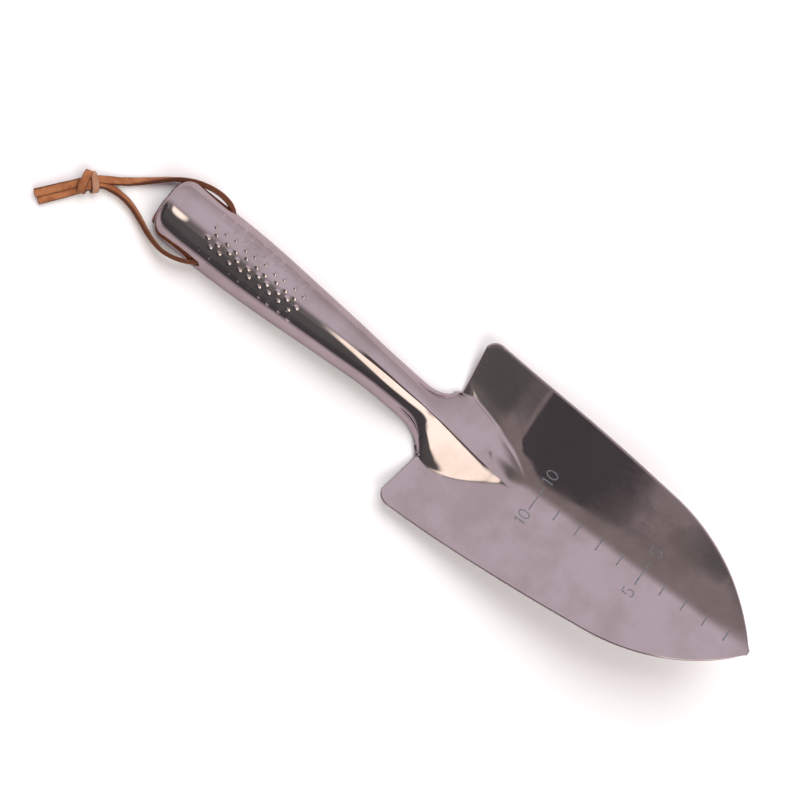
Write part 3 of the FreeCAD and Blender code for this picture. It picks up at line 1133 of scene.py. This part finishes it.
@dataclass
class Thong:
    """The leather thong: one lace through the handle, its two ends knotted together."""

    lace: Lace
    upper: Strand = Strand(
        "upper_strand", ("thong_upper", "thong_tail_upper"),
        ((-0.1163, 0.0099, 0.008), (-0.1184, 0.0124, 0.0079), (-0.1214, 0.0140, 0.0073), (-0.1256, 0.0147, 0.0062),
         (-0.1303, 0.0143, 0.0052), (-0.1362, 0.0127, 0.0040), (-0.1428, 0.0086, 0.0026), (-0.1490, 0.0028, 0.0017),
         (-0.1546, -0.0024, 0.0015), (-0.1596, -0.0061, 0.0019), (-0.1656, -0.0100, 0.0030),
         (-0.1705, -0.0162, 0.0027), (-0.1798, -0.0283, 0.0022)),
        (0.0, 0.33, 0.46, 0.58, 0.7, 0.8, 1.0), (92.0, 90.0, 62.0, 24.0, 8.0, -14.0, -20.0))
    lower: Strand = Strand(
        "lower_strand", ("thong_lower", "thong_tail_lower"),
        ((-0.1163, -0.0099, 0.008), (-0.1186, -0.0125, 0.0079), (-0.1222, -0.0144, 0.0073),
         (-0.1268, -0.0158, 0.0063), (-0.1318, -0.0160, 0.0050), (-0.1382, -0.0139, 0.0034),
         (-0.1446, -0.0108, 0.0024), (-0.1509, -0.0087, 0.0021), (-0.1575, -0.0086, 0.0019),
         (-0.1625, -0.0098, 0.0024), (-0.1657, -0.0130, 0.0030), (-0.1682, -0.0178, 0.0014),
         (-0.1771, -0.0294, 0.0010)),
        (0.0, 0.25, 0.42, 0.56, 0.68, 0.76, 1.0), (88.0, 78.0, 62.0, 52.0, 30.0, 8.0, 2.0))

    def inside(self) -> bpy.types.Object:
        """The bight of lace inside the handle, from hole to hole."""
        turns = np.linspace(-1, 1, 25)
        path = np.column_stack((-0.1124 - 0.0039 * np.abs(turns) ** 2.2, 0.0099 * turns, np.full(25, 0.008)))
        return self.lace.sweep("inside_lace", path, np.tile((0.0, 0.0, 1.0), (25, 1)), scale=0.98)

    def wrap(self, name: str, centre: Point, half: float, rise: float, slant: float, twist: float,
             scale: float) -> bpy.types.Object:
        """One turn of lace round both strands, in the knot.

        Args:
            name: the object's name.
            centre: the turn's middle.
            half: its half width.
            rise: its half height.
            slant: how far it leans along the strands.
            twist: how far its crossing points wander along the strands.
            scale: share of the lace's full size.

        Returns:
            The object.
        """
        along, across = np.array((-0.79, -0.613, 0.0)), np.array((-0.613, 0.79, 0.0))
        a = np.linspace(0, 2 * math.pi, 49)[:-1]
        path = np.array(centre) + np.outer(np.cos(a) * half, across) + np.outer(np.sin(a) * rise, (0.0, 0.0, 1.0))
        path = path + np.outer(slant * np.cos(a) + twist * np.sin(a), along)
        tangent = unit(np.roll(path, -1, axis=0) - np.roll(path, 1, axis=0))
        out = unit(path - np.array(centre))
        return self.lace.sweep(name, path, unit(np.cross(tangent, out)), looped=True, scale=scale)

    def knot(self) -> List[bpy.types.Object]:
        """The overhand knot: two overlapping turns over a packed core."""
        near = self.wrap("knot_near_turn", (-0.1655, -0.0116, 0.0030), 0.0033, 0.0020, 0.0005, -0.0004, 0.92)
        far = self.wrap("knot_far_turn", (-0.1679, -0.0133, 0.0033), 0.0035, 0.00215, -0.0015, 0.0006, 1.0)
        core = self.wrap("knot_core", (-0.1667, -0.0124, 0.0030), 0.0018, 0.0008, 0.0, 0.0, 1.35)
        return [near, far, core]


# ---------------------------------------------------------------- room


@dataclass
class Studio:
    """Pale floor, soft light, the surroundings that the steel mirrors, and the camera."""

    pose: RestPose

    def floor(self) -> None:
        """Lays the pale floor, painted a darker mauve where the steel mirrors it: a painted reflection."""
        size = 3.0
        item = mesh_object("floor", np.array([(-size, -size, -0.0001), (size, -size, -0.0001), (size, size, -0.0001),
                                              (-size, size, -0.0001)]), [(0, 1, 2, 3)], False)
        material = bpy.data.materials.new("pale_floor")
        material.use_nodes = True
        shader = material.node_tree.nodes["Principled BSDF"]
        # Painted reflection: glossy rays see the floor in a darker mauve than the camera does, so the steel mirrors a
        # dim floor.
        path = material.node_tree.nodes.new("ShaderNodeLightPath")
        material.node_tree.links.new(mix_colour(material.node_tree, path.outputs["Is Glossy Ray"],
                                                (0.93, 0.93, 0.93, 1.0), (0.5, 0.43, 0.455, 1.0)),
                                     shader.inputs["Base Color"])
        shader.inputs["Roughness"].default_value = 0.9
        item.data.materials.append(material)

    def surroundings(self) -> None:
        """Builds the room that the steel mirrors: a dark overhead, a pale wall and a warm lamp."""
        world = bpy.data.worlds.new("room")
        bpy.context.scene.world = world
        world.use_nodes = True
        tree = world.node_tree
        ray = tree.nodes.new("ShaderNodeTexCoord").outputs["Generated"]

        def facing(direction: Sequence[float]) -> Socket:
            """How far the ray points along a direction, from -1 to 1."""
            node = tree.nodes.new("ShaderNodeVectorMath")
            node.operation = "DOT_PRODUCT"
            node.inputs[1].default_value = tuple(direction)
            tree.links.new(ray, node.inputs[0])
            return node.outputs["Value"]

        degrees = 180.0 / math.pi
        ahead = math_node(tree, "MULTIPLY", math_node(tree, "ARCSINE", facing(self.pose.turn((1, 0, 0)))), degrees)
        round_ = math_node(tree, "MULTIPLY", math_node(
            tree, "ARCTAN2", facing((0, 1, 0)), facing(self.pose.turn((0, 0, 1)))), degrees)

        def all_of(*masks: Socket) -> Socket:
            """The masks multiplied together."""
            total = masks[0]
            for mask in masks[1:]:
                total = math_node(tree, "MULTIPLY", total, mask)
            return total

        drift = math_node(tree, "MULTIPLY", math_node(tree, "MAXIMUM", math_node(tree, "ADD", ahead, 0.5), 0.0), 2.4)
        colour = mix_colour(tree, range_node(tree, ahead, 10.0, 16.0), (0.30, 0.245, 0.24, 1),
                            (0.185, 0.168, 0.158, 1))
        near_dark = all_of(range_node(tree, math_node(tree, "ADD", round_, drift), -9.0, -11.5),
                           range_node(tree, ahead, 2.95, 2.45))
        far_dark = range_node(tree, round_, -44.0, -66.0)
        shade = all_of(range_node(tree, round_, -19.0, -20.1), range_node(tree, ahead, 3.9, 4.7))
        colour = mix_colour(tree, all_of(range_node(tree, round_, -17.0, -20.0), range_node(tree, ahead, 9.0, 13.0)),
                            colour, (0.118, 0.11, 0.108, 1))
        colour = mix_colour(tree, shade, colour, (0.118, 0.11, 0.108, 1))
        colour = mix_colour(tree, math_node(tree, "MAXIMUM", near_dark, far_dark), colour, (0.078, 0.070, 0.076, 1))
        paper = all_of(range_node(tree, facing((0, 0, 1)), 0.2, 0.1), range_node(tree, round_, -40.0, -60.0))
        colour = mix_colour(tree, paper, colour, (0.40, 0.33, 0.345, 1))
        side = mix_colour(tree, range_node(tree, round_, 34.0, 90.0), (0.665, 0.575, 0.62, 1),
                          (0.50, 0.425, 0.435, 1))
        colour = mix_colour(tree, range_node(tree, round_, -7.0, 13.0), colour, side)
        beyond = math_node(tree, "MINIMUM", math_node(tree, "ADD", round_, 10.0), 0.0)
        slant = math_node(tree, "MULTIPLY", beyond, 0.4)
        lamp = all_of(range_node(tree, math_node(tree, "ADD", ahead, slant), 24.5, 30.0),
                      range_node(tree, ahead, 74.0, 68.0),
                      range_node(tree, round_, 4.0, -2.0), range_node(tree, round_, -58.0, -44.0))
        colour = mix_colour(tree, lamp, colour, (1.75, 1.5, 1.28, 1))
        gap = all_of(range_node(tree, round_, -1.5, 1.5), range_node(tree, round_, 17.0, 13.0),
                     range_node(tree, ahead, 31.0, 36.0))
        colour = mix_colour(tree, gap, colour, (0.10, 0.078, 0.07, 1))
        tree.links.new(colour, tree.nodes["Background"].inputs["Color"])

    def lamp(self, name: str, spot: Point, size: float, power: float) -> None:
        """Hangs a soft square lamp that the steel doesn't mirror, aimed at the tool."""
        data = bpy.data.lights.new(name, "AREA")
        data.energy, data.size = power, size
        item = bpy.data.objects.new(name, data)
        item.location = spot
        item.rotation_euler = (-Vector(spot)).to_track_quat("-Z", "Y").to_euler()
        item.visible_glossy = False
        bpy.context.collection.objects.link(item)

    def camera(self) -> None:
        """Sets the camera high over the tool, rolled so that the tip points down to the right."""
        data = bpy.data.cameras.new("camera")
        data.lens, data.sensor_width = 104.78, 36.0
        item = bpy.data.objects.new("camera", data)
        right = Vector((0.75926, 0.59082, 0.27288)).normalized()
        back = Vector((-0.21894, -0.16297, 0.96203)).normalized()
        up = back.cross(right).normalized()
        right = up.cross(back)
        turn = Matrix((right, up, back)).transposed().to_4x4()
        item.matrix_world = Matrix.Translation(Vector((-0.218505, -0.148534, 0.862919))) @ turn
        data.clip_start = 0.05
        bpy.context.collection.objects.link(item)
        bpy.context.scene.camera = item

    def build(self) -> None:
        """Builds the whole room."""
        bpy.context.scene.view_settings.view_transform = "Standard"
        self.floor()
        self.surroundings()
        self.lamp("key", (-0.5, 0.9, 1.6), 1.6, 26.0)
        self.lamp("fill", (0.8, -0.9, 1.5), 1.6, 18.0)


def dress_thong(thong: Thong, grain: Tree) -> None:
    """Builds the thong, attaches its pieces to the thong's body and gives it its leather.

    Args:
        thong: the thong.
        grain: the leather grain group.
    """
    tan = TanLeather("tan_leather", (0.40, 0.152, 0.06, 1), (0.27, 0.092, 0.034, 1),
                     (0.10, 0.032, 0.014, 1)).build(grain)
    pale = TanLeather("rubbed_leather", (0.42, 0.235, 0.145, 1), (0.31, 0.145, 0.078, 1),
                      (0.14, 0.05, 0.024, 1)).build(grain)
    strands = [(strand, *strand.build(thong.lace)) for strand in (thong.upper, thong.lower)]
    inside, knot = thong.inside(), thong.knot()
    for strand, item, path in strands:
        item.data.materials.append(tan)
        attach(item, "thong")
        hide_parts(*strand.nodes)
    for item, leather in [(inside, tan), (knot[0], pale), (knot[1], tan), (knot[2], tan)]:
        item.data.materials.append(leather)
        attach(item, "thong")
    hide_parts("thong_inside")
    for piece in knot:
        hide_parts("thong_knot")


def main() -> None:
    """Builds the tool and its room."""
    logging.basicConfig(level=logging.INFO, format="%(message)s")
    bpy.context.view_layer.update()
    pose, blade = RestPose(), Blade()
    room = Studio(pose)
    room.camera()
    marks, grain = scuff_group(), grain_group()
    dress_thong(Thong(Lace()), grain)
    sheet = Pressing(blade, Ridge(blade), GripDots(), pose).build(PolishedSteel().build(marks))
    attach(sheet, "trowel")
    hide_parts("pressing")
    LOG.info("pressing: %d faces", len(sheet.data.polygons))
    scale = PlantingScale(blade, pose).build(EtchedMark().build())
    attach(scale, "trowel")
    LOG.info("planting scale: %d faces", len(scale.data.polygons))
    room.build()


if __name__ == "__main__":
    main()
